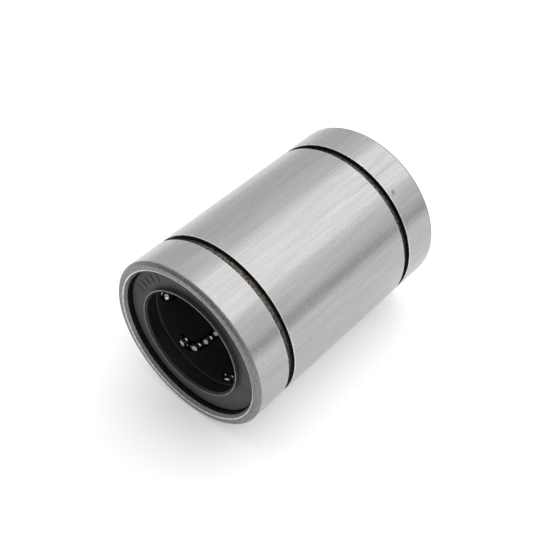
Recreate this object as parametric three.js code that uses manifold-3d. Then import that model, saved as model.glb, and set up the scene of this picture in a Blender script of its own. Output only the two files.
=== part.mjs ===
// Linear ball bushing for a 25 mm shaft: 40 mm outside, 59 mm long, six ball circuits and two seals.
//
// Units are millimetres and +Z is up. The bushing lies on its side: its bore runs along Y with the front end
// towards -Y, and the origin is on the bore axis, halfway along the bushing. Depths are measured from an end
// face, and angles go from +X towards +Z.

import * as THREE from "three";
import { mergeVertices } from "three/addons/utils/BufferGeometryUtils.js";
import Module from "manifold-3d";

const wasm = await Module();
wasm.setup();

// Outer sleeve.
const SLEEVE_RADIUS = 20;
const LENGTH = 59;
const OUTER_CHAMFER = 0.6;
const GROOVE_RADIUS = 19;
const GROOVE_WIDTH = 1.85;
const GROOVE_SPAN = 41;          // outer wall of one groove to outer wall of the other
const MOUTH_RADIUS = 18.4;       // where the inner chamfer meets the end face
const MOUTH_CHAMFER = 0.8;
const SEAT_RADIUS = 17.6;        // counterbore that holds the side ring
const SEAT_DEPTH = 3.35;
const SHOULDER_RADIUS = 17;
const STOP_GROOVE_RADIUS = 17.5;
const STOP_GROOVE_START = 3.65;
const STOP_GROOVE_END = 4.4;
const RELIEF_RADIUS = 16.85;     // bore around the ball turns
const POCKET_RADIUS = 16.7;      // bore behind the return rows
const LAND_HALF_ANGLE = 11;      // degrees of raceway land each side of a loaded row

// Balls and their circuits.
const BALL_RADIUS = 3.175 / 2;
const BALL_PITCH = 3.22;
const CIRCUITS = 6;
const ROW_BALLS = 12;
const TURN_BALLS = 3;
const FIRST_ROW_ANGLE = 5;       // degrees
const SHAFT_RADIUS = 12.5;
const LOADED_RADIUS = SHAFT_RADIUS + BALL_RADIUS;
const RETURN_RADIUS = 15.04;
const TURN_RADIUS = 3.25;
const LAND_RADIUS = LOADED_RADIUS + BALL_RADIUS + 0.045;
const ROW_LENGTH = ROW_BALLS * BALL_PITCH;
const LAND_LENGTH = ROW_LENGTH - 0.24;
const NECK_RADIUS = 0.25;        // thread of steel that keeps a row of balls in one solid
const BALL_SIDES = 6;

// Cage.
const CAGE_BORE_RADIUS = 12.85;
const CAGE_RADIUS = 16.55;
const CAGE_DEPTH = 4.5;
const CAGE_CHAMFER = 0.4;
const KEYWAY_RADIUS = 15.45;
const KEYWAY_HALF_ANGLE = 12;    // degrees
const KEYWAY_LENGTH = LAND_LENGTH + 0.6;
const CHANNEL_RADIUS = 1.74;     // across the flats of the ball channel, halved
const CHANNEL_SIDES = 8;
const TURN_STEPS = 7;
const TURN_CHANNEL_RADIUS = TURN_RADIUS + 0.03;   // the channel's straight steps cut inside their arc
const TURN_OVERRUN = 5;          // degrees that a turn runs into its straight channels

// Side ring, seal and stop ring.
const SIDE_RING_RADIUS = 17.5;
const SIDE_RING_FRONT = 2.75;
const SIDE_RING_BACK = 3.25;
const SIDE_RING_BORE = 13.45;
const SEAL_RADIUS = 17.4;
const SEAL_FACE = 2;
const SEAL_CORNER = 0.12;
const SEAL_BACK = 2.65;
const LIP_RADIUS = 13.05;        // raised lip round the mouth of the seal
const LIP_DEPTH = 0.95;
const LIP_CORNER = 0.1;
const MOUTH_RIM_RADIUS = 12.75;
const WIPER_RADIUS = 12.4;
const WIPER_DEPTH = 1.5;
const SEAL_TUBE_BORE = 12.65;
const SEAL_TUBE_RADIUS = 13.2;
const SEAL_TUBE_END = 4.2;
const STOP_RING_RADIUS = 17.35;
const STOP_RING_BORE = 16.1;
const STOP_RING_DEPTH = 3.7;
const STOP_RING_THICKNESS = 0.6;
const STOP_RING_GAP = 24;        // degrees left open
const STOP_RING_SEGMENTS = 18;

// Round surfaces are prisms whose flats lie on the true radius.
const ROUND_SIDES = 36;
const CORNER_FACTOR = 1 / Math.cos(Math.PI / ROUND_SIDES);
const CUT_MARGIN = 0.5;          // how far a cutter passes the surface that it opens

const radians = THREE.MathUtils.degToRad;

const groundSteel = new THREE.MeshStandardMaterial({ color: 0xb7b5b1, roughness: 0.38, metalness: 1 });
const ballSteel = new THREE.MeshStandardMaterial({ color: 0xe2e2e2, roughness: 0.08, metalness: 1 });
const ringSteel = new THREE.MeshStandardMaterial({ color: 0x5a5a5c, roughness: 0.45, metalness: 1 });
const cageResin = new THREE.MeshStandardMaterial({ color: 0x17171a, roughness: 0.55, metalness: 0 });
const sealRubber = new THREE.MeshStandardMaterial({ color: 0x4c4c50, roughness: 0.75, metalness: 0 });

// A profile of [radius, depth] points, anticlockwise with radius to the right and depth up, swept round Y.
function ring(profile) {
  const points = profile.map(([radius, depth]) => new THREE.Vector2(radius * CORNER_FACTOR, depth - LENGTH / 2));
  points.push(points[0].clone());
  return new THREE.LatheGeometry(points, ROUND_SIDES, Math.PI / ROUND_SIDES);
}

// A flat outline in X and Z, made into a plate from one Y to another.
function plate(shape, fromY, toY, curveSegments) {
  const thickness = toY - fromY;
  const geometry = new THREE.ExtrudeGeometry(shape, { depth: thickness, bevelEnabled: false, curveSegments });
  geometry.rotateX(Math.PI / 2);
  geometry.translate(0, toY, 0);
  return geometry;
}

// A sector between two radii and two angles in degrees.
function sector(innerRadius, outerRadius, fromAngle, toAngle) {
  const shape = new THREE.Shape();
  shape.absarc(0, 0, outerRadius, radians(fromAngle), radians(toAngle), false);
  shape.absarc(0, 0, innerRadius, radians(toAngle), radians(fromAngle), true);
  shape.closePath();
  return shape;
}

function toSolid(geometry) {
  const bare = geometry.clone();
  bare.deleteAttribute("normal");
  bare.deleteAttribute("uv");
  const merged = mergeVertices(bare, 1e-5);
  return new wasm.Manifold(
    new wasm.Mesh({
      numProp: 3,
      vertProperties: new Float32Array(merged.attributes.position.array),
      triVerts: new Uint32Array(merged.index.array),
    })
  );
}

function toGeometry(solid) {
  const mesh = solid.getMesh();
  const geometry = new THREE.BufferGeometry();
  geometry.setAttribute("position", new THREE.BufferAttribute(mesh.vertProperties, 3));
  geometry.setIndex(new THREE.BufferAttribute(mesh.triVerts, 1));
  geometry.computeVertexNormals();
  return geometry;
}

// Copies of a cutter, turned to each circuit in turn, taken out of a solid.
function cutForEachCircuit(body, cutters) {
  let solid = toSolid(body);
  for (let circuit = 0; circuit < CIRCUITS; circuit += 1) {
    for (const cutter of cutters) {
      solid = solid.subtract(toSolid(cutter.clone().rotateY(-circuitAngle(circuit))));
    }
  }
  return toGeometry(solid);
}

function circuitAngle(circuit) {
  return radians(FIRST_ROW_ANGLE + (circuit * 360) / CIRCUITS);
}

// One circuit seen alone: its loaded row lies on +X and its return row lies below it, towards -Z.
const returnAngle = Math.acos(
  (LOADED_RADIUS ** 2 + RETURN_RADIUS ** 2 - (2 * TURN_RADIUS) ** 2) / (2 * LOADED_RADIUS * RETURN_RADIUS)
);
const loadedCentre = new THREE.Vector3(LOADED_RADIUS, 0, 0);
const returnCentre = new THREE.Vector3(RETURN_RADIUS * Math.cos(returnAngle), 0, -RETURN_RADIUS * Math.sin(returnAngle));
const chord = returnCentre.clone().sub(loadedCentre).normalize();
const turnCentre = loadedCentre.clone().add(returnCentre).multiplyScalar(0.5);

// The frame of a turn: x along the chord, y out of the bushing's end and z square to the turn.
function turnFrame(end) {
  const outward = new THREE.Vector3(0, end, 0);
  const square = new THREE.Vector3().crossVectors(chord, outward);
  const frame = new THREE.Matrix4().makeBasis(chord, outward, square);
  return frame.setPosition(turnCentre.x, (end * ROW_LENGTH) / 2, turnCentre.z);
}

class TurnCurve extends THREE.Curve {
  getPoint(t, target = new THREE.Vector3()) {
    const angle = radians(-TURN_OVERRUN + t * (180 + 2 * TURN_OVERRUN));
    return target.set(-TURN_CHANNEL_RADIUS * Math.cos(angle), TURN_CHANNEL_RADIUS * Math.sin(angle), 0);
  }
}

function turnChannel(end) {
  const section = new THREE.Shape();
  const corner = CHANNEL_RADIUS / Math.cos(Math.PI / CHANNEL_SIDES);
  for (let side = 0; side < CHANNEL_SIDES; side += 1) {
    const angle = ((side + 0.5) * 2 * Math.PI) / CHANNEL_SIDES;
    const x = corner * Math.cos(angle);
    const y = corner * Math.sin(angle);
    if (side === 0) {
      section.moveTo(x, y);
    } else {
      section.lineTo(x, y);
    }
  }
  section.closePath();
  const geometry = new THREE.ExtrudeGeometry(section, { steps: TURN_STEPS, extrudePath: new TurnCurve() });
  return geometry.applyMatrix4(turnFrame(end));
}

function rowChannel(centre) {
  const corner = CHANNEL_RADIUS / Math.cos(Math.PI / CHANNEL_SIDES);
  const halfSide = Math.PI / CHANNEL_SIDES;
  const geometry = new THREE.CylinderGeometry(corner, corner, ROW_LENGTH, CHANNEL_SIDES, 1, false, halfSide);
  geometry.rotateY(-Math.atan2(centre.z, centre.x));
  return geometry.translate(centre.x, 0, centre.z);
}

function outerSleeve() {
  const grooveOuter = (LENGTH - GROOVE_SPAN) / 2;
  const grooveInner = grooveOuter + GROOVE_WIDTH;
  const landDepth = (LENGTH - LAND_LENGTH) / 2;
  const outside = [
    [SLEEVE_RADIUS - OUTER_CHAMFER, 0],
    [SLEEVE_RADIUS, OUTER_CHAMFER],
    [SLEEVE_RADIUS, grooveOuter],
    [GROOVE_RADIUS, grooveOuter],
    [GROOVE_RADIUS, grooveInner],
    [SLEEVE_RADIUS, grooveInner],
  ];
  const inside = [
    [LAND_RADIUS, landDepth],
    [RELIEF_RADIUS, landDepth],
    [RELIEF_RADIUS, STOP_GROOVE_END],
    [STOP_GROOVE_RADIUS, STOP_GROOVE_END],
    [STOP_GROOVE_RADIUS, STOP_GROOVE_START],
    [SHOULDER_RADIUS, STOP_GROOVE_START],
    [SHOULDER_RADIUS, SEAT_DEPTH],
    [SEAT_RADIUS, SEAT_DEPTH],
    [SEAT_RADIUS, MOUTH_CHAMFER],
    [MOUTH_RADIUS, 0],
  ];
  const atRear = (points) => points.map(([radius, depth]) => [radius, LENGTH - depth]).reverse();
  const body = ring([...outside, ...atRear(outside), ...atRear(inside), ...inside]);
  const pocket = sector(
    LAND_RADIUS - CUT_MARGIN,
    POCKET_RADIUS,
    LAND_HALF_ANGLE,
    360 / CIRCUITS - LAND_HALF_ANGLE
  );
  const pocketEnd = LAND_LENGTH / 2 + CUT_MARGIN;
  return cutForEachCircuit(body, [plate(pocket, -pocketEnd, pocketEnd, 4)]);
}

function ballCage() {
  const body = ring([
    [CAGE_BORE_RADIUS + CAGE_CHAMFER, CAGE_DEPTH],
    [CAGE_RADIUS, CAGE_DEPTH],
    [CAGE_RADIUS, LENGTH - CAGE_DEPTH],
    [CAGE_BORE_RADIUS + CAGE_CHAMFER, LENGTH - CAGE_DEPTH],
    [CAGE_BORE_RADIUS, LENGTH - CAGE_DEPTH - CAGE_CHAMFER],
    [CAGE_BORE_RADIUS, CAGE_DEPTH + CAGE_CHAMFER],
  ]);
  const keyway = sector(KEYWAY_RADIUS, CAGE_RADIUS + CUT_MARGIN, -KEYWAY_HALF_ANGLE, KEYWAY_HALF_ANGLE);
  return cutForEachCircuit(body, [
    plate(keyway, -KEYWAY_LENGTH / 2, KEYWAY_LENGTH / 2, 3),
    rowChannel(loadedCentre),
    rowChannel(returnCentre),
    turnChannel(-1),
    turnChannel(1),
  ]);
}

function sideRing() {
  return ring([
    [SIDE_RING_BORE, SIDE_RING_FRONT],
    [SIDE_RING_RADIUS, SIDE_RING_FRONT],
    [SIDE_RING_RADIUS, SIDE_RING_BACK],
    [SIDE_RING_BORE, SIDE_RING_BACK],
  ]);
}

function seal() {
  return ring([
    [WIPER_RADIUS, WIPER_DEPTH],
    [MOUTH_RIM_RADIUS, LIP_DEPTH],
    [LIP_RADIUS - LIP_CORNER, LIP_DEPTH],
    [LIP_RADIUS, LIP_DEPTH + LIP_CORNER],
    [LIP_RADIUS, SEAL_FACE],
    [SEAL_RADIUS - SEAL_CORNER, SEAL_FACE],
    [SEAL_RADIUS, SEAL_FACE + SEAL_CORNER],
    [SEAL_RADIUS, SEAL_BACK],
    [SEAL_TUBE_RADIUS, SEAL_BACK],
    [SEAL_TUBE_RADIUS, SEAL_TUBE_END],
    [SEAL_TUBE_BORE, SEAL_TUBE_END],
    [SEAL_TUBE_BORE, SEAL_BACK],
  ]);
}

function stopRing() {
  const halfGap = STOP_RING_GAP / 2;
  const outline = sector(STOP_RING_BORE, STOP_RING_RADIUS, 90 + halfGap, 450 - halfGap);
  const frontY = STOP_RING_DEPTH - LENGTH / 2;
  return plate(outline, frontY, frontY + STOP_RING_THICKNESS, STOP_RING_SEGMENTS);
}

// Balls in line along Y, centred on the origin and joined by thin threads of steel.
function ballLine(count) {
  const slope = BALL_RADIUS * Math.SQRT1_2;
  const firstY = ((1 - count) / 2) * BALL_PITCH;
  const points = [new THREE.Vector2(0, firstY - BALL_RADIUS)];
  for (let ball = 0; ball < count; ball += 1) {
    const y = firstY + ball * BALL_PITCH;
    points.push(new THREE.Vector2(slope, y - slope));
    points.push(new THREE.Vector2(BALL_RADIUS, y));
    points.push(new THREE.Vector2(slope, y + slope));
    if (ball < count - 1) {
      points.push(new THREE.Vector2(NECK_RADIUS, y + BALL_PITCH / 2));
    }
  }
  points.push(new THREE.Vector2(0, -firstY + BALL_RADIUS));
  return new THREE.LatheGeometry(points, BALL_SIDES);
}

function addMesh(group, name, geometry, material) {
  const mesh = new THREE.Mesh(geometry, material);
  mesh.name = name;
  group.add(mesh);
  return mesh;
}

// The pieces of one end, made for the front and turned round for the rear.
function endGroup(endName, turn) {
  const group = new THREE.Group();
  group.rotation.x = turn;
  addMesh(group, `${endName}_side_ring`, sideRing(), ringSteel);
  addMesh(group, `${endName}_seal`, seal(), sealRubber);
  addMesh(group, `${endName}_stop_ring`, stopRing(), ringSteel);
  return group;
}

function circuitGroup(circuit) {
  const group = new THREE.Group();
  const prefix = `circuit_${circuit + 1}`;
  group.rotation.y = -circuitAngle(circuit);
  addMesh(group, `${prefix}_loaded_row`, ballLine(ROW_BALLS), ballSteel).position.copy(loadedCentre);
  addMesh(group, `${prefix}_return_row`, ballLine(ROW_BALLS), ballSteel).position.copy(returnCentre);
  for (const [endName, end] of [["front", -1], ["rear", 1]]) {
    for (let ball = 0; ball < TURN_BALLS; ball += 1) {
      const angle = ((ball + 0.5) * Math.PI) / TURN_BALLS;
      const name = `${prefix}_${endName}_turn_ball_${ball + 1}`;
      const mesh = addMesh(group, name, ballLine(1), ballSteel);
      mesh.position.set(-TURN_RADIUS * Math.cos(angle), TURN_RADIUS * Math.sin(angle), 0);
      mesh.position.applyMatrix4(turnFrame(end));
    }
  }
  return group;
}

const bushing = new THREE.Group();
addMesh(bushing, "outer_sleeve", outerSleeve(), groundSteel);
addMesh(bushing, "ball_cage", ballCage(), cageResin);
bushing.add(endGroup("front", 0));
bushing.add(endGroup("rear", Math.PI));
for (let circuit = 0; circuit < CIRCUITS; circuit += 1) {
  bushing.add(circuitGroup(circuit));
}

export default bushing;
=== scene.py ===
"""Looks of a sealed linear ball bushing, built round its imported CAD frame.

The bushing lies on its side with its bore along Y and its front end towards -Y. Sizes are named in
millimetres and made into metres where a mesh is built. Depths are measured from an end face, and
angles go from +X towards +Z.
"""

import math

import bmesh
import bpy
from mathutils import Matrix, Vector


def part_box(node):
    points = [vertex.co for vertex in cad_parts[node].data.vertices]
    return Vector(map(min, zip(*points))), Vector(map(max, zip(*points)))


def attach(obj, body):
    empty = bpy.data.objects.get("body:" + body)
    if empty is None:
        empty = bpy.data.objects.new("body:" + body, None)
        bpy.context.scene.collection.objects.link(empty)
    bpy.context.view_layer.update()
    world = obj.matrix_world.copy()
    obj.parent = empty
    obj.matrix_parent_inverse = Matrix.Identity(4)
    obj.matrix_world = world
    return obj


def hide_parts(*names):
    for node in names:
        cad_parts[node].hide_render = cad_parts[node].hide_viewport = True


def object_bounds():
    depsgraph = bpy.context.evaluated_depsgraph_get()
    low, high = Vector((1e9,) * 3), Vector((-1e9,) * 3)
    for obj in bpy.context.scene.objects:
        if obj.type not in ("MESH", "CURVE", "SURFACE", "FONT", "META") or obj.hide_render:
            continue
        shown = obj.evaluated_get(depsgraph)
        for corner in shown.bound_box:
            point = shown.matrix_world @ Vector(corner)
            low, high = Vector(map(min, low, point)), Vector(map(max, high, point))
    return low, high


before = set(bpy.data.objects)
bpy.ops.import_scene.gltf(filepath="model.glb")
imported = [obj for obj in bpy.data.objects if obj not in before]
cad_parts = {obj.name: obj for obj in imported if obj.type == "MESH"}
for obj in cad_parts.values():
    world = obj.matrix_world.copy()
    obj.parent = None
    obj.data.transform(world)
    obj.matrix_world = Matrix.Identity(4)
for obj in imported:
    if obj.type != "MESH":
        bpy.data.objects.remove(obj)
cad_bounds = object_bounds()

MM = 0.001

# Outer sleeve, in millimetres.
SLEEVE_RADIUS = 20.0
LENGTH = 59.0
OUTER_CHAMFER = 0.6
GROOVE_RADIUS = 19.0
GROOVE_WIDTH = 1.85
GROOVE_SPAN = 41.0
GROOVE_START = (LENGTH - GROOVE_SPAN) / 2
GROOVE_END = GROOVE_START + GROOVE_WIDTH
MOUTH_RADIUS = 18.15  # measured later than the CAD's, which is 18.4
MOUTH_CHAMFER = 0.8
SEAT_RADIUS = 17.6
SEAT_DEPTH = 3.35
SHOULDER_RADIUS = 17.0
STOP_GROOVE_RADIUS = 17.5
STOP_GROOVE_START = 3.65
STOP_GROOVE_END = 4.4
RELIEF_RADIUS = 16.85
POCKET_RADIUS = 16.7
LAND_HALF_ANGLE = math.radians(11)
RAMP_ANGLE = math.radians(1.5)

# How far the sleeve's corners are rounded, in millimetres, and how its faces are told apart.
END_EDGE = 0.18
BARREL_EDGE = 0.22
GROOVE_EDGE = 0.16
# The groove floor this close to each wall is painted near black as shade.
GROOVE_CORNER = 0.2
MOUTH_EDGE = 0.2
SEAT_EDGE = 0.10
BORE_EDGE = 0.06
# How far the painted highlight on each mouth's rim reaches.
MOUTH_RIM_WIDTH = MOUTH_EDGE * 0.8
MOUTH_RIM_DEPTH = MOUTH_EDGE / 2
BARREL_TOLERANCE = 0.002
# The rim zone is a painted highlight on the rounded rims of the grooves and of the mouths.
# The wall zone is painted shade: near black on the grooves' walls, their floors' corners and the
# seats' walls.
BARREL, END, GROOVE_FLOOR, SHADED_WALL, RACE, HIGHLIGHT_RIM = range(6)

# Balls and circuits, in millimetres.
BALL_RADIUS = 3.175 / 2
BALL_PITCH = 3.22
CIRCUITS = 6
ROW_BALLS = 12
TURN_BALLS = 3
FIRST_ROW_ANGLE = math.radians(5)
ROW_LENGTH = ROW_BALLS * BALL_PITCH
LAND_RADIUS = 15.72
LAND_TRIM = 0.24  # a raceway land is this much shorter than a row of balls
LAND_DEPTH = (LENGTH - ROW_LENGTH + LAND_TRIM) / 2

# Cage, in millimetres.
CAGE_BORE_RADIUS = 12.85
CAGE_RADIUS = 16.55
CAGE_DEPTH = 4.5
CAGE_CHAMFER = 0.4
CAGE_BORE_EDGE = 0.12
CAGE_OUTER_EDGE = 0.15
KEYWAY_RADIUS = 15.45
KEYWAY_HALF_ANGLE = math.radians(12)
KEYWAY_OVERRUN = 0.3  # a keyway runs this far past the land at each end
KEYWAY_DEPTH = LAND_DEPTH - KEYWAY_OVERRUN
CHANNEL_RADIUS = 1.72
CHANNEL_SIDES = 32
TURN_STEPS = 24

# Side ring, seal and stop ring, in millimetres.
SIDE_RING_RADIUS = 17.5
SIDE_RING_FRONT = 2.75
SIDE_RING_BACK = 3.25
SIDE_RING_BORE = 13.45
SIDE_RING_BACK_EDGE = 0.12
RING_EDGE = 0.08
SEAL_RADIUS = 17.4
SEAL_FACE = 2.0
SEAL_CORNER = 0.12
SEAL_BACK = 2.65
SEAL_BACK_EDGE = 0.10
LIP_RADIUS = 13.05
LIP_BORE_RADIUS = 12.75
LIP_DEPTH = 0.95
# How far back from the lip's edge its painted highlight reaches.
LIP_SHEEN_DEPTH = 0.1
LIP_EDGE = 0.14
LIP_BORE_EDGE = 0.08
LIP_FOOT = 0.10
WIPER_RADIUS = 12.4
WIPER_DEPTH = 1.5
WIPER_EDGE = 0.06
SEAL_TUBE_BORE = 12.65
SEAL_TUBE_RADIUS = 13.2
SEAL_TUBE_END = 4.2
SEAL_TUBE_EDGE = 0.08
SEAL_PLAIN, SEAL_BORE, SEAL_LIP = range(3)
STOP_RING_RADIUS = 17.35
STOP_RING_BORE = 16.1
STOP_RING_DEPTH = 3.7
STOP_RING_THICKNESS = 0.6
STOP_RING_GAP = math.radians(24)

# Marks, in millimetres: moulded ticks on the front seal's face, a near-black spot on it that paints
# the shade of a pinhole, and a stain on the barrel.
TICKS = 5
TICKS_START = math.radians(124)
TICKS_END = math.radians(156)
TICK_RADIUS = 15.3
TICK_LENGTH = 1.9
TICK_WIDTH = 0.42
TICK_HEIGHT = 0.3
TICK_BEVEL = TICK_HEIGHT * 0.35
TICK_BEVEL_STEPS = 2
PAINTED_PINHOLE = Vector((14.14, SEAL_FACE - LENGTH / 2, -4.70))
PAINTED_PINHOLE_RADIUS = 0.2
STAIN = Vector((12.99, 22.0, 15.21))
STAIN_RADIUS = 0.5
SPOT_INNER = 0.7  # a spot fades between these two shares of its radius
SPOT_OUTER = 1.3

# How finely the round surfaces are made.
SLEEVE_SEGMENTS = 360
RING_SEGMENTS = 256
BALL_SUBDIVISIONS = 4
CORNER_STEPS = 4
LONGEST_ROUNDING = 0.45  # as a share of the side that it is cut from
SHARP_ANGLE = math.radians(32)

# Camera: the direction back to it from the object, its distance and the point that it looks at.
CAMERA_AZIMUTH = math.radians(40.76)
CAMERA_ELEVATION = math.radians(44.62)
CAMERA_DISTANCE = 0.2194
CAMERA_TARGET = Vector((-0.00026, -0.0013, -0.00077))
CAMERA_LENS = 65.69
SENSOR_WIDTH = 36.0
CLIP_START = 0.01
CLIP_END = 20.0

# Light, in metres: one softbox over the barrel, seen from the bore's axis between two angles, and
# pale walls. The walls' tone changes with the angle round that axis, in degrees. They are as bright
# as FRONT_TONE towards -Y and as WALL_BRIGHTNESS towards +Y, and FRONT_FADE holds the Y of the unit
# directions between which this changes.
SOFTBOX_START = math.radians(46)
SOFTBOX_END = math.radians(108)
SOFTBOX_DISTANCE = 0.7
SOFTBOX_LENGTH = 1.2
SOFTBOX_SHIFT = 0.5
SOFTBOX_RADIANCE = 0.6
SOFTBOX_COLOR = (1.0, 0.985, 0.955)
FLOOR_SIZE = 0.9
FLOOR_GLOW = 0.22
FRONT_TONE = 0.4
FRONT_FADE = (-0.75, 0.15)
WALL_BRIGHTNESS = 1.25
WALL_TONES = (
    (-60, 0.74),
    (-10, 0.30),
    (-3, 0.30),
    (2, 0.42),
    (10, 0.86),
    (36, 1.04),
    (110, 0.98),
    (124, 0.94),
    (140, 0.84),
    (158, 0.74),
)


# ---------------------------------------------------------------- meshes


def radius_at(corner, angle):
    """A corner's radius, which may be a function of the angle."""
    return corner[0](angle) if callable(corner[0]) else corner[0]


def rounded(corners):
    """A closed outline of (radius, depth) from corners of (radius, depth, rounding)."""
    outline = []
    for index, corner in enumerate(corners):
        rounding = corner[2] if len(corner) > 2 else 0
        if not rounding:
            outline.append(corner[:2])
            continue
        here = Vector((radius_at(corner, 0), corner[1]))
        sides = []
        for other in (corners[index - 1], corners[(index + 1) % len(corners)]):
            side = Vector((radius_at(other, 0), other[1])) - here
            sides.append(side.normalized() * min(rounding, side.length * LONGEST_ROUNDING))
        for step in range(CORNER_STEPS + 1):
            t = step / CORNER_STEPS
            point = here + sides[0] * (1 - t) ** 2 + sides[1] * t**2
            outline.append((point.x, point.y))
    return outline


def new_object(name, data, materials=()):
    for material in materials:
        data.materials.append(material)
    obj = bpy.data.objects.new(name, data)
    bpy.context.scene.collection.objects.link(obj)
    return obj


def smooth(mesh):
    mesh.shade_smooth()
    mesh.set_sharp_from_angle(angle=SHARP_ANGLE)


def finish_mesh(name, verts, faces, materials, face_materials=None):
    """A mesh object with its faces out, smooth but for its real edges."""
    mesh = bpy.data.meshes.new(name)
    mesh.from_pydata(verts, [], faces)
    if face_materials:
        mesh.polygons.foreach_set("material_index", face_materials)
    turned = bmesh.new()
    turned.from_mesh(mesh)
    bmesh.ops.recalc_face_normals(turned, faces=turned.faces)
    turned.to_mesh(mesh)
    turned.free()
    smooth(mesh)
    return new_object(name, mesh, materials)


def weight_normals(obj):
    modifier = obj.modifiers.new("weighted", "WEIGHTED_NORMAL")
    modifier.keep_sharp = True


def swept(name, outline, segments, materials, zone=None, gap=0.0):
    """An outline turned about Y. zone gives the number of the material at a radius and a depth.

    A gap in radians leaves an open ring with two flat ends, centred on +Z.
    """
    turns = segments if gap == 0 else segments + 1
    count = len(outline)
    start = math.pi / 2 + gap / 2
    verts = []
    for turn in range(turns):
        angle = start + (2 * math.pi - gap) * turn / segments
        for corner in outline:
            radius = radius_at(corner, angle)
            along = corner[1] - LENGTH / 2
            verts.append((radius * math.cos(angle) * MM, along * MM, radius * math.sin(angle) * MM))
    faces = []
    face_materials = []
    for turn in range(segments):
        here = turn * count
        there = ((turn + 1) % turns) * count
        for index in range(count):
            following = (index + 1) % count
            faces.append((here + index, here + following, there + following, there + index))
            middle = (
                (radius_at(outline[index], 0) + radius_at(outline[following], 0)) / 2,
                (outline[index][1] + outline[following][1]) / 2,
            )
            face_materials.append(zone(*middle) if zone else 0)
    if gap:
        faces.append(tuple(range(count)))
        faces.append(tuple(segments * count + index for index in range(count)))
        face_materials += [0, 0]
    obj = finish_mesh(name, verts, faces, materials, face_materials)
    weight_normals(obj)
    return obj


def at_rear(corners):
    """The same corners measured from the rear face, in reverse order."""
    return [(corner[0], LENGTH - corner[1], *corner[2:]) for corner in reversed(corners)]


def turn_to_rear(obj):
    """Turns a piece made for the front end round to the rear end."""
    obj.data.transform(Matrix.Rotation(math.pi, 4, "X"))


def tube(path, across, radius, sides):
    """Vertices and faces of a round tube along a closed path in a plane square to across."""
    verts = []
    faces = []
    count = len(path)
    for index, point in enumerate(path):
        along = (path[(index + 1) % count] - path[index - 1]).normalized()
        inward = across.cross(along)
        for side in range(sides):
            angle = 2 * math.pi * side / sides
            verts.append(point + (across * math.cos(angle) + inward * math.sin(angle)) * radius)
    for index in range(count):
        here = index * sides
        there = ((index + 1) % count) * sides
        for side in range(sides):
            following = (side + 1) % sides
            faces.append((here + side, here + following, there + following, there + side))
    return verts, faces


def cut_out(obj, verts, faces):
    """Takes a closed cutter out of a piece, whose other modifiers stay as they are."""
    cutter = finish_mesh("cutter", verts, faces, [])
    modifier = obj.modifiers.new("cut", "BOOLEAN")
    modifier.operation = "DIFFERENCE"
    modifier.solver = "EXACT"
    modifier.object = cutter
    while obj.modifiers[0] != modifier:
        obj.modifiers.move(obj.modifiers.find(modifier.name), 0)
    depsgraph = bpy.context.evaluated_depsgraph_get()
    kept = [m for m in obj.modifiers if m != modifier]
    for other in kept:
        other.show_viewport = False
    depsgraph.update()
    cut = bpy.data.meshes.new_from_object(obj.evaluated_get(depsgraph))
    for other in kept:
        other.show_viewport = True
    obj.modifiers.remove(modifier)
    obj.data = cut
    smooth(cut)
    bpy.data.objects.remove(cutter)


# ---------------------------------------------------------------- materials


def set_range(node, low, high, out_low=0, out_high=1):
    """Sets up a map range node."""
    numbers = {"From Min": low, "From Max": high, "To Min": out_low, "To Max": out_high}
    for name, number in numbers.items():
        node.inputs[name].default_value = number


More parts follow.
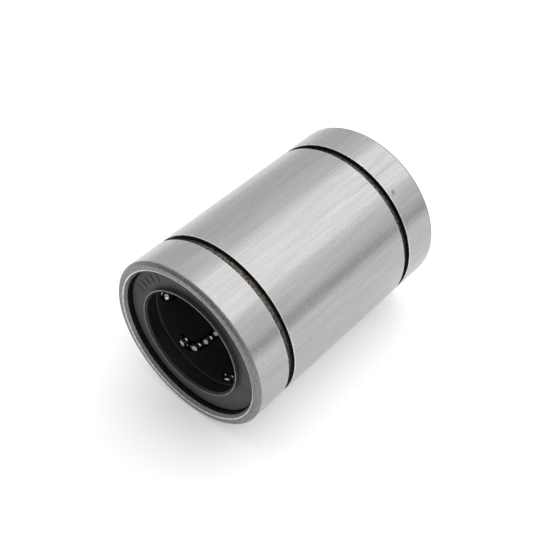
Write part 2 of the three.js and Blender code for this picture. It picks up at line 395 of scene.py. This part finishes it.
class Nodes:
    """A material's node tree, with short calls for the few nodes that these finishes use."""

    # A mix node names its sockets alike for each kind of data, so the colour ones go by number.
    MIX_INPUTS = (6, 7)
    MIX_OUTPUT = 2

    def __init__(self, name, color, metallic, roughness):
        self.material = bpy.data.materials.new(name)
        self.material.use_nodes = True
        self.tree = self.material.node_tree
        self.shader = self.tree.nodes["Principled BSDF"]
        self.shader.inputs["Base Color"].default_value = (*color, 1)
        self.shader.inputs["Metallic"].default_value = metallic
        self.shader.inputs["Roughness"].default_value = roughness
        self.place = self.tree.nodes.new("ShaderNodeTexCoord").outputs["Object"]

    def link(self, output, socket):
        self.tree.links.new(output, socket)

    def noise(self, size, detail=4.0, roughness=0.6):
        """Noise whose grain has that size in millimetres along X, Y and Z."""
        mapping = self.tree.nodes.new("ShaderNodeMapping")
        mapping.inputs["Scale"].default_value = [1 / (MM * length) for length in size]
        self.link(self.place, mapping.inputs["Vector"])
        texture = self.tree.nodes.new("ShaderNodeTexNoise")
        texture.inputs["Scale"].default_value = 1.0
        texture.inputs["Detail"].default_value = detail
        texture.inputs["Roughness"].default_value = roughness
        self.link(mapping.outputs["Vector"], texture.inputs["Vector"])
        return texture.outputs["Fac"]

    def spread(self, value, low, high, out_low=0, out_high=1):
        """Maps low to high onto out_low to out_high, and holds the ends beyond."""
        node = self.tree.nodes.new("ShaderNodeMapRange")
        set_range(node, low, high, out_low, out_high)
        self.link(value, node.inputs["Value"])
        return node.outputs["Result"]

    def add(self, first, second):
        node = self.tree.nodes.new("ShaderNodeMath")
        node.operation = "ADD"
        self.link(first, node.inputs[0])
        self.link(second, node.inputs[1])
        return node.outputs["Value"]

    def mix(self, factor, first, second):
        """Between two colours, either of which may be a socket."""
        node = self.tree.nodes.new("ShaderNodeMix")
        node.data_type = "RGBA"
        self.link(factor, node.inputs["Factor"])
        for number, value in zip(self.MIX_INPUTS, (first, second)):
            if isinstance(value, tuple):
                node.inputs[number].default_value = (*value, 1)
            else:
                self.link(value, node.inputs[number])
        return node.outputs[self.MIX_OUTPUT]

    def spot(self, centre, radius):
        """1 within that many millimetres of a point, fading to 0 just outside."""
        node = self.tree.nodes.new("ShaderNodeVectorMath")
        node.operation = "DISTANCE"
        node.inputs[1].default_value = centre * MM
        self.link(self.place, node.inputs[0])
        inner, outer = radius * SPOT_INNER * MM, radius * SPOT_OUTER * MM
        return self.spread(node.outputs["Value"], inner, outer, 1, 0)

    def color(self, output):
        self.link(output, self.shader.inputs["Base Color"])

    def roughness(self, output):
        self.link(output, self.shader.inputs["Roughness"])

    def bump(self, height, depth):
        """Relief of that depth in millimetres, on top of any relief already there."""
        node = self.tree.nodes.new("ShaderNodeBump")
        node.inputs["Strength"].default_value = 1.0
        node.inputs["Distance"].default_value = depth * MM
        self.link(height, node.inputs["Height"])
        normal = self.shader.inputs["Normal"]
        if normal.is_linked:
            self.link(normal.links[0].from_socket, node.inputs["Normal"])
        self.link(node.outputs["Normal"], normal)


def ground_steel():
    """The barrel: fine grain from grinding, with faint streaks along the axis."""
    nodes = Nodes("ground_steel", (0.40, 0.40, 0.40), 1.0, 0.26)
    nodes.shader.inputs["Anisotropic"].default_value = 0.8
    nodes.shader.inputs["Anisotropic Rotation"].default_value = 0.25
    round_axis = nodes.tree.nodes.new("ShaderNodeTangent")
    round_axis.direction_type = "RADIAL"
    round_axis.axis = "Y"
    nodes.link(round_axis.outputs["Tangent"], nodes.shader.inputs["Tangent"])
    grain = nodes.noise((0.22, 0.30, 0.22), 5.0, 0.7)
    clouds = nodes.noise((7.0, 11.0, 7.0), 3.0)
    streaks = nodes.spread(nodes.noise((0.9, 16.0, 0.9), 3.0), 0.35, 0.7)
    tone = nodes.mix(streaks, (0.372, 0.373, 0.382), (0.434, 0.435, 0.443))
    speckle = nodes.spread(nodes.noise((0.16, 0.16, 0.16), 3.0), 0.50, 0.68, 0, 0.65)
    tone = nodes.mix(speckle, tone, (0.26, 0.26, 0.26))
    hairlines = nodes.spread(nodes.noise((0.45, 70.0, 0.45), 1.0), 0.66, 0.74, 0, 0.4)
    tone = nodes.mix(hairlines, tone, (0.22, 0.215, 0.21))
    nodes.color(nodes.mix(nodes.spot(STAIN, STAIN_RADIUS), tone, (0.24, 0.215, 0.17)))
    cloudy = nodes.spread(clouds, 0.3, 0.7, 0.24, 0.28)
    nodes.roughness(nodes.add(cloudy, nodes.spread(grain, 0.3, 0.7, -0.03, 0.03)))
    nodes.bump(grain, 0.013)
    nodes.bump(nodes.noise((4.0, 0.09, 4.0), 2.0), 0.0012)
    return nodes.material


def end_steel():
    """The end faces and chamfers: coarser grinding, greyer, with small pits."""
    nodes = Nodes("end_steel", (0.23, 0.225, 0.215), 1.0, 0.42)
    grain = nodes.noise((0.35, 0.35, 0.35), 6.0, 0.75)
    tone = nodes.spread(grain, 0.35, 0.65)
    nodes.color(nodes.mix(tone, (0.13, 0.127, 0.12), (0.33, 0.325, 0.312)))
    nodes.roughness(nodes.spread(grain, 0.3, 0.7, 0.34, 0.52))
    nodes.bump(grain, 0.045)
    return nodes.material


def rim_highlight_steel():
    """The rims of the grooves and of the mouths, painted bright as highlights along those edges."""
    nodes = Nodes("rim_highlight_steel", (0.75, 0.745, 0.73), 1.0, 0.38)
    rim_flecks = nodes.noise((0.5, 0.2, 0.5), 5.0, 0.7)
    nodes.color(nodes.mix(nodes.spread(rim_flecks, 0.35, 0.6), (0.42, 0.415, 0.40), (0.85, 0.84, 0.82)))
    nodes.roughness(nodes.spread(rim_flecks, 0.3, 0.7, 0.46, 0.32))
    nodes.bump(rim_flecks, 0.012)
    return nodes.material


def groove_floor_steel():
    """The floors of the turned grooves: brown-black with grey specks, rough and dull."""
    nodes = Nodes("groove_floor_steel", (0.20, 0.175, 0.155), 1.0, 0.55)
    grain = nodes.noise((0.55, 0.3, 0.55), 6.0, 0.8)
    specks = nodes.spread(grain, 0.44, 0.60)
    nodes.color(nodes.mix(specks, (0.022, 0.020, 0.018), (0.33, 0.30, 0.265)))
    nodes.roughness(nodes.spread(grain, 0.3, 0.7, 0.42, 0.62))
    nodes.bump(grain, 0.05)
    return nodes.material


def painted_shade_steel():
    """Unground walls of the grooves and of the seats, and the corners of the grooves' floors,
    painted near black as the shade that falls in these recesses.
    """
    nodes = Nodes("painted_shade_steel", (0.02, 0.018, 0.017), 1.0, 0.5)
    grain = nodes.noise((0.4, 0.2, 0.4), 5.0, 0.7)
    shade_flecks = nodes.spread(grain, 0.4, 0.65)
    # Near-black tones stand in for the shade in these recesses.
    nodes.color(nodes.mix(shade_flecks, (0.010, 0.009, 0.009), (0.075, 0.068, 0.062)))
    nodes.roughness(nodes.spread(grain, 0.3, 0.7, 0.4, 0.6))
    nodes.bump(grain, 0.02)
    return nodes.material


def race_steel():
    """The hardened bore of the sleeve, which the balls roll on."""
    nodes = Nodes("race_steel", (0.45, 0.44, 0.43), 1.0, 0.28)
    rings = nodes.noise((6.0, 0.12, 6.0), 3.0)
    nodes.color(nodes.mix(rings, (0.38, 0.37, 0.36), (0.55, 0.54, 0.52)))
    nodes.roughness(nodes.spread(rings, 0.3, 0.7, 0.22, 0.36))
    nodes.bump(rings, 0.002)
    return nodes.material


def ring_steel():
    """Side rings and stop rings: dark oxide with a rubbed look."""
    nodes = Nodes("ring_steel", (0.12, 0.12, 0.125), 1.0, 0.42)
    rub_and_sheen = nodes.noise((2.2, 0.6, 2.2), 5.0)
    nodes.color(nodes.mix(nodes.spread(rub_and_sheen, 0.45, 0.7), (0.09, 0.09, 0.095), (0.30, 0.30, 0.30)))
    nodes.roughness(nodes.spread(rub_and_sheen, 0.3, 0.7, 0.48, 0.34))
    nodes.bump(nodes.noise((0.2, 0.2, 0.2), 4.0), 0.008)
    return nodes.material


def ball_steel():
    """Polished balls with the faintest haze and hairline marks."""
    nodes = Nodes("ball_steel", (0.55, 0.55, 0.56), 1.0, 0.07)
    haze = nodes.noise((0.8, 0.8, 0.8), 4.0)
    nodes.color(nodes.mix(haze, (0.50, 0.50, 0.51), (0.60, 0.60, 0.61)))
    nodes.roughness(nodes.spread(haze, 0.35, 0.7, 0.05, 0.11))
    nodes.bump(nodes.noise((0.05, 0.6, 0.05), 2.0), 0.0002)
    return nodes.material


def cage_resin():
    """Moulded black resin with faint flow marks."""
    nodes = Nodes("cage_resin", (0.012, 0.012, 0.014), 0.0, 0.5)
    flow = nodes.noise((3.0, 9.0, 3.0), 4.0)
    grain = nodes.noise((0.18, 0.18, 0.18), 4.0)
    nodes.color(nodes.mix(flow, (0.008, 0.008, 0.010), (0.018, 0.018, 0.021)))
    nodes.roughness(nodes.spread(flow, 0.3, 0.7, 0.42, 0.58))
    nodes.bump(grain, 0.012)
    return nodes.material


def seal_rubber():
    """Dark grey rubber: fine moulded grain, a dusty bloom and a few lighter specks."""
    nodes = Nodes("seal_rubber", (0.06, 0.06, 0.066), 0.0, 0.55)
    bloom = nodes.noise((3.5, 3.5, 3.5), 4.0)
    grain = nodes.noise((0.16, 0.16, 0.16), 5.0, 0.7)
    specks = nodes.noise((0.55, 0.55, 0.55), 2.0)
    base = nodes.mix(nodes.spread(bloom, 0.3, 0.7), (0.042, 0.042, 0.048), (0.063, 0.063, 0.070))
    base = nodes.mix(nodes.spread(specks, 0.66, 0.76, 0, 0.6), base, (0.10, 0.10, 0.11))
    # A near-black spot paints the shade of a pinhole; the face has no hole there.
    nodes.color(nodes.mix(nodes.spot(PAINTED_PINHOLE, PAINTED_PINHOLE_RADIUS), base, (0.003, 0.003, 0.003)))
    nodes.roughness(nodes.spread(grain, 0.3, 0.7, 0.52, 0.70))
    nodes.bump(grain, 0.014)
    return nodes.material


def lip_sheen_rubber():
    """The edge of the raised lip, painted paler as a highlight, and slightly shiny."""
    nodes = Nodes("lip_sheen_rubber", (0.15, 0.15, 0.16), 0.0, 0.4)
    rub_and_sheen = nodes.noise((1.2, 0.4, 1.2), 4.0)
    nodes.color(nodes.mix(nodes.spread(rub_and_sheen, 0.35, 0.65), (0.09, 0.09, 0.098), (0.21, 0.21, 0.22)))
    nodes.roughness(nodes.spread(rub_and_sheen, 0.3, 0.7, 0.46, 0.34))
    nodes.bump(rub_and_sheen, 0.008)
    return nodes.material


def wiper_rubber():
    """The smooth black wiping lip and the bore behind it, with a trace of grease."""
    nodes = Nodes("wiper_rubber", (0.006, 0.006, 0.007), 0.0, 0.45)
    smear = nodes.noise((1.5, 0.8, 1.5), 4.0)
    nodes.color(nodes.mix(smear, (0.004, 0.004, 0.005), (0.010, 0.010, 0.011)))
    nodes.roughness(nodes.spread(smear, 0.3, 0.7, 0.40, 0.60))
    nodes.bump(smear, 0.004)
    return nodes.material


def floor_paint():
    """Nearly white, with a little light of its own."""
    nodes = Nodes("floor_paint", (0.93, 0.93, 0.93), 0.0, 0.6)
    nodes.shader.inputs["Emission Color"].default_value = (1, 1, 1, 1)
    nodes.shader.inputs["Emission Strength"].default_value = FLOOR_GLOW
    tone = nodes.noise((40.0, 40.0, 40.0), 2.0)
    nodes.color(nodes.mix(tone, (0.92, 0.92, 0.92), (0.94, 0.94, 0.94)))
    return nodes.material


# ---------------------------------------------------------------- pieces


def from_nearest_row(angle):
    """How far an angle is from the nearest loaded row, in radians."""
    spacing = 2 * math.pi / CIRCUITS
    offset = (angle - FIRST_ROW_ANGLE) % spacing
    return min(offset, spacing - offset)


def step_between(angle, half_angle, at_row, elsewhere):
    """One radius at the loaded rows and another between them, with a short ramp."""
    share = (from_nearest_row(angle) - half_angle) / RAMP_ANGLE + 0.5
    share = min(1.0, max(0.0, share))
    return at_row + (elsewhere - at_row) * share


def race_radius(angle):
    return step_between(angle, LAND_HALF_ANGLE, LAND_RADIUS, POCKET_RADIUS)


def keyed_radius(angle):
    return step_between(angle, KEYWAY_HALF_ANGLE, KEYWAY_RADIUS, CAGE_RADIUS)


def sleeve_zone(radius, depth):
    """Which finish a face of the sleeve has."""
    from_end = min(depth, LENGTH - depth)
    from_groove = abs(from_end - GROOVE_START - GROOVE_WIDTH / 2)
    in_groove = from_groove < GROOVE_WIDTH / 2 + GROOVE_EDGE
    if radius > SLEEVE_RADIUS - BARREL_TOLERANCE:
        return BARREL
    # Painted highlight on the rounded edges of the grooves.
    if radius > SLEEVE_RADIUS - GROOVE_EDGE and from_end > OUTER_CHAMFER * 2:
        return HIGHLIGHT_RIM
    # Painted shade: the groove walls and the floor's corners next to them are coloured near black.
    if in_groove and radius > GROOVE_RADIUS - GROOVE_EDGE:
        return GROOVE_FLOOR if from_groove < GROOVE_WIDTH / 2 - GROOVE_CORNER else SHADED_WALL
    if from_end < MOUTH_CHAMFER:
        # The mouth's rim gets a painted highlight.
        at_rim = radius < MOUTH_RADIUS + MOUTH_RIM_WIDTH and from_end < MOUTH_RIM_DEPTH
        return HIGHLIGHT_RIM if at_rim else END
    # Painted shade: the seats' walls are coloured near black.
    if from_end < SEAT_DEPTH and radius > SHOULDER_RADIUS:
        return SHADED_WALL
    return RACE


def build_sleeve(finishes):
    """The sleeve. finishes holds the materials in the order of its zones."""
    outside = [
        (SLEEVE_RADIUS - OUTER_CHAMFER, 0, END_EDGE),
        (SLEEVE_RADIUS, OUTER_CHAMFER, BARREL_EDGE),
        (SLEEVE_RADIUS, GROOVE_START, GROOVE_EDGE),
        (GROOVE_RADIUS, GROOVE_START, GROOVE_EDGE),
        (GROOVE_RADIUS, GROOVE_START + GROOVE_CORNER),
        (GROOVE_RADIUS, GROOVE_END - GROOVE_CORNER),
        (GROOVE_RADIUS, GROOVE_END, GROOVE_EDGE),
        (SLEEVE_RADIUS, GROOVE_END, GROOVE_EDGE),
    ]
    inside = [
        (race_radius, LAND_DEPTH),
        (RELIEF_RADIUS, LAND_DEPTH),
        (RELIEF_RADIUS, STOP_GROOVE_END, BORE_EDGE),
        (STOP_GROOVE_RADIUS, STOP_GROOVE_END, BORE_EDGE),
        (STOP_GROOVE_RADIUS, STOP_GROOVE_START, BORE_EDGE),
        (SHOULDER_RADIUS, STOP_GROOVE_START, BORE_EDGE),
        (SHOULDER_RADIUS, SEAT_DEPTH, BORE_EDGE),
        (SEAT_RADIUS, SEAT_DEPTH, BORE_EDGE),
        (SEAT_RADIUS, MOUTH_CHAMFER, SEAT_EDGE),
        (MOUTH_RADIUS, 0, MOUTH_EDGE),
    ]
    outline = rounded([*outside, *at_rear(outside), *at_rear(inside), *inside])
    sleeve = swept("sleeve", outline, SLEEVE_SEGMENTS, finishes, sleeve_zone)
    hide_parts("outer_sleeve")
    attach(sleeve, "housing")


def circuit_centres(circuit):
    """The middles of a circuit's loaded and return rows, in metres, read from the frame."""
    centres = []
    for row in ("loaded_row", "return_row"):
        low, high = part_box(f"circuit_{circuit}_{row}")
        centres.append((low + high) / 2)
    return centres


def circuit_path(circuit):
    """The closed path of a circuit's ball centres and the direction square to its plane."""
    loaded, returned = circuit_centres(circuit)
    chord = (returned - loaded) / 2
    middle = (returned + loaded) / 2
    half_length = ROW_LENGTH / 2 * MM
    path = []
    for end in (-1, 1):
        for step in range(TURN_STEPS + 1):
            angle = math.pi * step / TURN_STEPS
            side = math.cos(angle) * -end
            reach = half_length + chord.length * math.sin(angle)
            path.append(middle + chord * side + Vector((0, end * reach, 0)))
    return path, chord.cross(Vector((0, 1, 0))).normalized()


def build_cage(resin):
    """The cage, bored along each circuit's path."""
    corners = [
        (CAGE_BORE_RADIUS + CAGE_CHAMFER, CAGE_DEPTH, CAGE_BORE_EDGE),
        (CAGE_RADIUS, CAGE_DEPTH, CAGE_OUTER_EDGE),
        (CAGE_RADIUS, KEYWAY_DEPTH),
        (keyed_radius, KEYWAY_DEPTH),
        (keyed_radius, LENGTH - KEYWAY_DEPTH),
        (CAGE_RADIUS, LENGTH - KEYWAY_DEPTH),
        (CAGE_RADIUS, LENGTH - CAGE_DEPTH, CAGE_OUTER_EDGE),
        (CAGE_BORE_RADIUS + CAGE_CHAMFER, LENGTH - CAGE_DEPTH, CAGE_BORE_EDGE),
        (CAGE_BORE_RADIUS, LENGTH - CAGE_DEPTH - CAGE_CHAMFER, CAGE_BORE_EDGE),
        (CAGE_BORE_RADIUS, CAGE_DEPTH + CAGE_CHAMFER, CAGE_BORE_EDGE),
    ]
    cage = swept("cage", rounded(corners), SLEEVE_SEGMENTS, [resin])
    for circuit in range(1, CIRCUITS + 1):
        path, across = circuit_path(circuit)
        cut_out(cage, *tube(path, across, CHANNEL_RADIUS * MM, CHANNEL_SIDES))
    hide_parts("ball_cage")
    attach(cage, "housing")


def side_ring(name, steel):
    corners = [
        (SIDE_RING_BORE, SIDE_RING_FRONT, RING_EDGE),
        (SIDE_RING_RADIUS, SIDE_RING_FRONT, RING_EDGE),
        (SIDE_RING_RADIUS, SIDE_RING_BACK, SIDE_RING_BACK_EDGE),
        (SIDE_RING_BORE, SIDE_RING_BACK, RING_EDGE),
    ]
    return swept(name, rounded(corners), RING_SEGMENTS, [steel])


def seal_zone(radius, depth):
    """Which finish a face of a seal has."""
    if radius < LIP_BORE_RADIUS:
        return SEAL_BORE
    # The lip's edge gets a painted highlight.
    return SEAL_LIP if depth < LIP_DEPTH + LIP_SHEEN_DEPTH else SEAL_PLAIN


def seal(name, rubbers):
    """A seal. rubbers holds the materials in the order of its zones."""
    corners = [
        (WIPER_RADIUS, WIPER_DEPTH, WIPER_EDGE),
        (LIP_BORE_RADIUS, LIP_DEPTH, LIP_BORE_EDGE),
        (LIP_RADIUS, LIP_DEPTH, LIP_EDGE),
        (LIP_RADIUS, SEAL_FACE, LIP_FOOT),
        (SEAL_RADIUS, SEAL_FACE, SEAL_CORNER),
        (SEAL_RADIUS, SEAL_BACK, SEAL_BACK_EDGE),
        (SEAL_TUBE_RADIUS, SEAL_BACK, SEAL_TUBE_EDGE),
        (SEAL_TUBE_RADIUS, SEAL_TUBE_END, SEAL_TUBE_EDGE),
        (SEAL_TUBE_BORE, SEAL_TUBE_END, SEAL_TUBE_EDGE),
        (SEAL_TUBE_BORE, SEAL_BACK, SEAL_TUBE_EDGE),
    ]
    return swept(name, rounded(corners), RING_SEGMENTS, rubbers, seal_zone)


def build_ticks(rubber):
    """A row of short radial bars moulded on the front seal's face."""
    ticks = bmesh.new()
    size = Matrix.Diagonal((TICK_LENGTH, TICK_HEIGHT, TICK_WIDTH, 1 / MM)) * MM
    out = Matrix.Translation((TICK_RADIUS * MM, (SEAL_FACE - LENGTH / 2) * MM, 0))
    for tick in range(TICKS):
        angle = TICKS_START + (TICKS_END - TICKS_START) * tick / (TICKS - 1)
        place = Matrix.Rotation(-angle, 4, "Y") @ out
        bmesh.ops.create_cube(ticks, size=1.0, matrix=place @ size)
    bmesh.ops.bevel(
        ticks,
        geom=ticks.edges,
        offset=TICK_BEVEL * MM,
        segments=TICK_BEVEL_STEPS,
        profile=0.5,
        affect="EDGES",
    )
    mesh = bpy.data.meshes.new("front_seal_ticks")
    ticks.to_mesh(mesh)
    ticks.free()
    smooth(mesh)
    piece = new_object("front_seal_ticks", mesh, [rubber])
    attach(piece, "housing")


def stop_ring(name, steel):
    back = STOP_RING_DEPTH + STOP_RING_THICKNESS
    corners = [
        (STOP_RING_BORE, STOP_RING_DEPTH, RING_EDGE),
        (STOP_RING_RADIUS, STOP_RING_DEPTH, RING_EDGE),
        (STOP_RING_RADIUS, back, RING_EDGE),
        (STOP_RING_BORE, back, RING_EDGE),
    ]
    return swept(name, rounded(corners), RING_SEGMENTS, [steel], gap=STOP_RING_GAP)


def build_ends(steel, rubbers):
    """The side ring, seal and stop ring of both ends."""
    makers = (
        ("side_ring", side_ring, steel, "ring_steel"),
        ("seal", seal, rubbers, "seal_rubber"),
        ("stop_ring", stop_ring, steel, "ring_steel"),
    )
    for end in ("front", "rear"):
        for kind, make, material, slot in makers:
            piece = make(f"{end}_{kind}_detail", material)
            if end == "rear":
                turn_to_rear(piece)
            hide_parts(f"{end}_{kind}")
            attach(piece, "housing")


def balls(name, centres, steel):
    """Separate round balls in one piece."""
    made = bmesh.new()
    for centre in centres:
        bmesh.ops.create_icosphere(
            made,
            subdivisions=BALL_SUBDIVISIONS,
            radius=BALL_RADIUS * MM,
            matrix=Matrix.Translation(centre),
        )
    mesh = bpy.data.meshes.new(name)
    made.to_mesh(mesh)
    made.free()
    mesh.shade_smooth()
    return new_object(name, mesh, [steel])


def build_balls(steel):
    """The balls of every row and every turn, one piece for each."""
    steps = [(ball - (ROW_BALLS - 1) / 2) * BALL_PITCH * MM for ball in range(ROW_BALLS)]
    for circuit in range(1, CIRCUITS + 1):
        prefix = f"circuit_{circuit}"
        for row, middle in zip(("loaded", "return"), circuit_centres(circuit)):
            centres = [middle + Vector((0, step, 0)) for step in steps]
            piece = balls(f"{prefix}_{row}_balls", centres, steel)
            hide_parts(f"{prefix}_{row}_row")
            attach(piece, f"{prefix}_{row}")
        for end in ("front", "rear"):
            names = [f"{prefix}_{end}_turn_ball_{ball + 1}" for ball in range(TURN_BALLS)]
            centres = [(low + high) / 2 for low, high in map(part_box, names)]
            piece = balls(f"{prefix}_{end}_turn_balls", centres, steel)
            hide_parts(*names)
            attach(piece, f"{prefix}_{end}_turn")


# ---------------------------------------------------------------- stage


def aim(obj, target):
    """Turns a camera to face a point."""
    obj.rotation_mode = "QUATERNION"
    obj.rotation_quaternion = (target - obj.location).to_track_quat("-Z", "Y")


def direction(azimuth, elevation):
    """From the object towards a viewer at that azimuth and elevation, in radians."""
    flat = math.cos(elevation)
    return Vector((math.sin(azimuth) * flat, -math.cos(azimuth) * flat, math.sin(elevation)))


def build_camera():
    data = bpy.data.cameras.new("camera")
    data.lens = CAMERA_LENS
    data.sensor_width = SENSOR_WIDTH
    data.clip_start = CLIP_START
    data.clip_end = CLIP_END
    camera = new_object("camera", data)
    back = direction(CAMERA_AZIMUTH, CAMERA_ELEVATION)
    camera.location = CAMERA_TARGET + back * CAMERA_DISTANCE
    aim(camera, CAMERA_TARGET)
    bpy.context.scene.camera = camera


def build_softbox():
    """A soft rectangular light above the barrel, with its long side along the bore."""
    data = bpy.data.lights.new("softbox", "AREA")
    data.shape = "RECTANGLE"
    data.size = 2 * SOFTBOX_DISTANCE * math.tan((SOFTBOX_END - SOFTBOX_START) / 2)
    data.size_y = SOFTBOX_LENGTH
    data.color = SOFTBOX_COLOR
    data.energy = SOFTBOX_RADIANCE * math.pi * data.size * data.size_y
    light = new_object("softbox", data)
    angle = (SOFTBOX_START + SOFTBOX_END) / 2
    out = Vector((math.cos(angle), 0, math.sin(angle)))
    light.location = out * SOFTBOX_DISTANCE + Vector((0, SOFTBOX_SHIFT, 0))
    light.rotation_euler = (0, math.pi / 2 - angle, 0)


def grey(tone):
    return (tone, tone, tone, 1)


def build_world():
    """Studio walls, whose tone follows the angle round the bore's axis and which dim towards -Y."""
    world = bpy.data.worlds.new("studio")
    world.use_nodes = True
    tree = world.node_tree
    place = tree.nodes.new("ShaderNodeTexCoord")
    split = tree.nodes.new("ShaderNodeSeparateXYZ")
    tree.links.new(place.outputs["Generated"], split.inputs["Vector"])
    angle = tree.nodes.new("ShaderNodeMath")
    angle.operation = "ARCTAN2"
    tree.links.new(split.outputs["Z"], angle.inputs[0])
    tree.links.new(split.outputs["X"], angle.inputs[1])
    turn = tree.nodes.new("ShaderNodeMapRange")
    set_range(turn, -math.pi, math.pi)
    tree.links.new(angle.outputs["Value"], turn.inputs["Value"])
    ramp = tree.nodes.new("ShaderNodeValToRGB")
    stops = ramp.color_ramp.elements
    while len(stops) > 1:
        stops.remove(stops[0])
    stops[0].position = 0.0
    stops[0].color = grey(WALL_TONES[0][1])
    for degrees, tone in WALL_TONES:
        stop = stops.new(0.5 + degrees / 360)
        stop.color = grey(tone)
    tree.links.new(turn.outputs["Result"], ramp.inputs["Fac"])
    fade = tree.nodes.new("ShaderNodeMapRange")
    fade.interpolation_type = "SMOOTHSTEP"
    set_range(fade, *FRONT_FADE, FRONT_TONE, WALL_BRIGHTNESS)
    tree.links.new(split.outputs["Y"], fade.inputs["Value"])
    background = tree.nodes["Background"]
    tree.links.new(fade.outputs["Result"], background.inputs["Strength"])
    tree.links.new(ramp.outputs["Color"], background.inputs["Color"])
    bpy.context.scene.world = world


def build_floor(paint):
    """A square floor under the lowest point of the CAD."""
    half = FLOOR_SIZE / 2
    height = cad_bounds[0].z
    verts = [(x * half, y * half, height) for x, y in ((-1, -1), (1, -1), (1, 1), (-1, 1))]
    floor = finish_mesh("floor", verts, [(0, 1, 2, 3)], [paint])


def build_view():
    settings = bpy.context.scene.view_settings
    settings.view_transform = "Standard"
    settings.look = "None"
    settings.exposure = 0.0


build_camera()
build_softbox()
build_world()
build_view()
build_floor(floor_paint())
build_sleeve(
    (
        ground_steel(),
        end_steel(),
        groove_floor_steel(),
        painted_shade_steel(),
        race_steel(),
        rim_highlight_steel(),
    )
)
build_cage(cage_resin())
face_rubber = seal_rubber()
build_ends(ring_steel(), (face_rubber, wiper_rubber(), lip_sheen_rubber()))
build_ticks(face_rubber)
build_balls(ball_steel())
